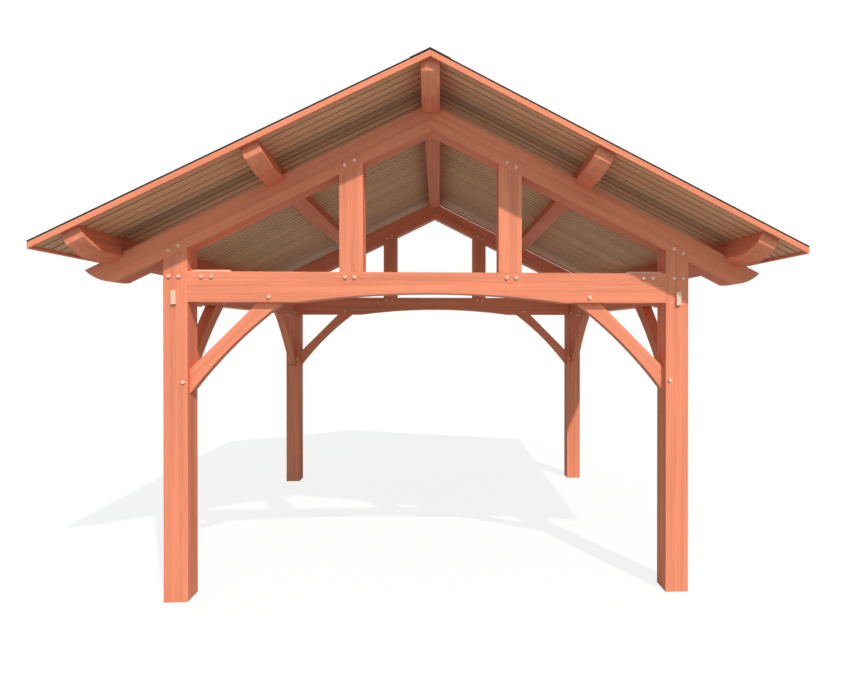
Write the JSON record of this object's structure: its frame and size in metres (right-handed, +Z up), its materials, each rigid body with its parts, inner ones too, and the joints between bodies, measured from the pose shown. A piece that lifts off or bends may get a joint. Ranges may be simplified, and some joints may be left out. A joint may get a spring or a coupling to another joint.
{
  "type": "timber-frame garden gazebo",
  "caption": "Open timber-frame gazebo with square posts, cambered tie beams, queen-post trusses and curved knee braces carrying purlins under a boarded, shingled gable roof.",
  "frame": {"origin": "on the ground, midway between the posts, at the bottom centre of the whole gazebo", "axes": "+X across the gable to the right, +Y from the front truss to the rear truss, +Z up"},
  "size_m": [5.684, 4.848, 4.2351],
  "materials": {
    "timber": "red cedar stain, satin",
    "boarding": "brown tongue-and-groove boards, matte",
    "hardwood": "pale bare hardwood",
    "roofing": "charcoal granules"
  },
  "bodies": {
    "root": {"front_left_post": "timber", "front_right_post": "timber", "rear_left_post": "timber", "rear_right_post": "timber", "front_tie_beam": "timber", "rear_tie_beam": "timber", "left_side_beam": "timber", "right_side_beam": "timber", "front_left_rafter": "timber", "front_right_rafter": "timber", "rear_left_rafter": "timber", "rear_right_rafter": "timber", "front_left_queen_post": "timber", "front_right_queen_post": "timber", "rear_left_queen_post": "timber", "rear_right_queen_post": "timber", "front_left_truss_brace": "timber", "front_right_truss_brace": "timber", "rear_left_truss_brace": "timber", "rear_right_truss_brace": "timber", "front_left_side_brace": "timber", "front_right_side_brace": "timber", "rear_left_side_brace": "timber", "rear_right_side_brace": "timber", "front_tie_splines": "hardwood", "rear_tie_splines": "hardwood", "left_side_splines": "hardwood", "right_side_splines": "hardwood", "ridge_beam": "timber", "left_mid_purlin": "timber", "right_mid_purlin": "timber", "left_eave_purlin": "timber", "right_eave_purlin": "timber", "left_roof_deck": "boarding", "right_roof_deck": "boarding", "front_left_rake_board": "timber", "front_right_rake_board": "timber", "rear_left_rake_board": "timber", "rear_right_rake_board": "timber", "left_eave_fascia": "timber", "right_eave_fascia": "timber", "left_roofing": "roofing", "right_roofing": "roofing", "ridge_cap": "roofing"}
  },
  "joints": []
}
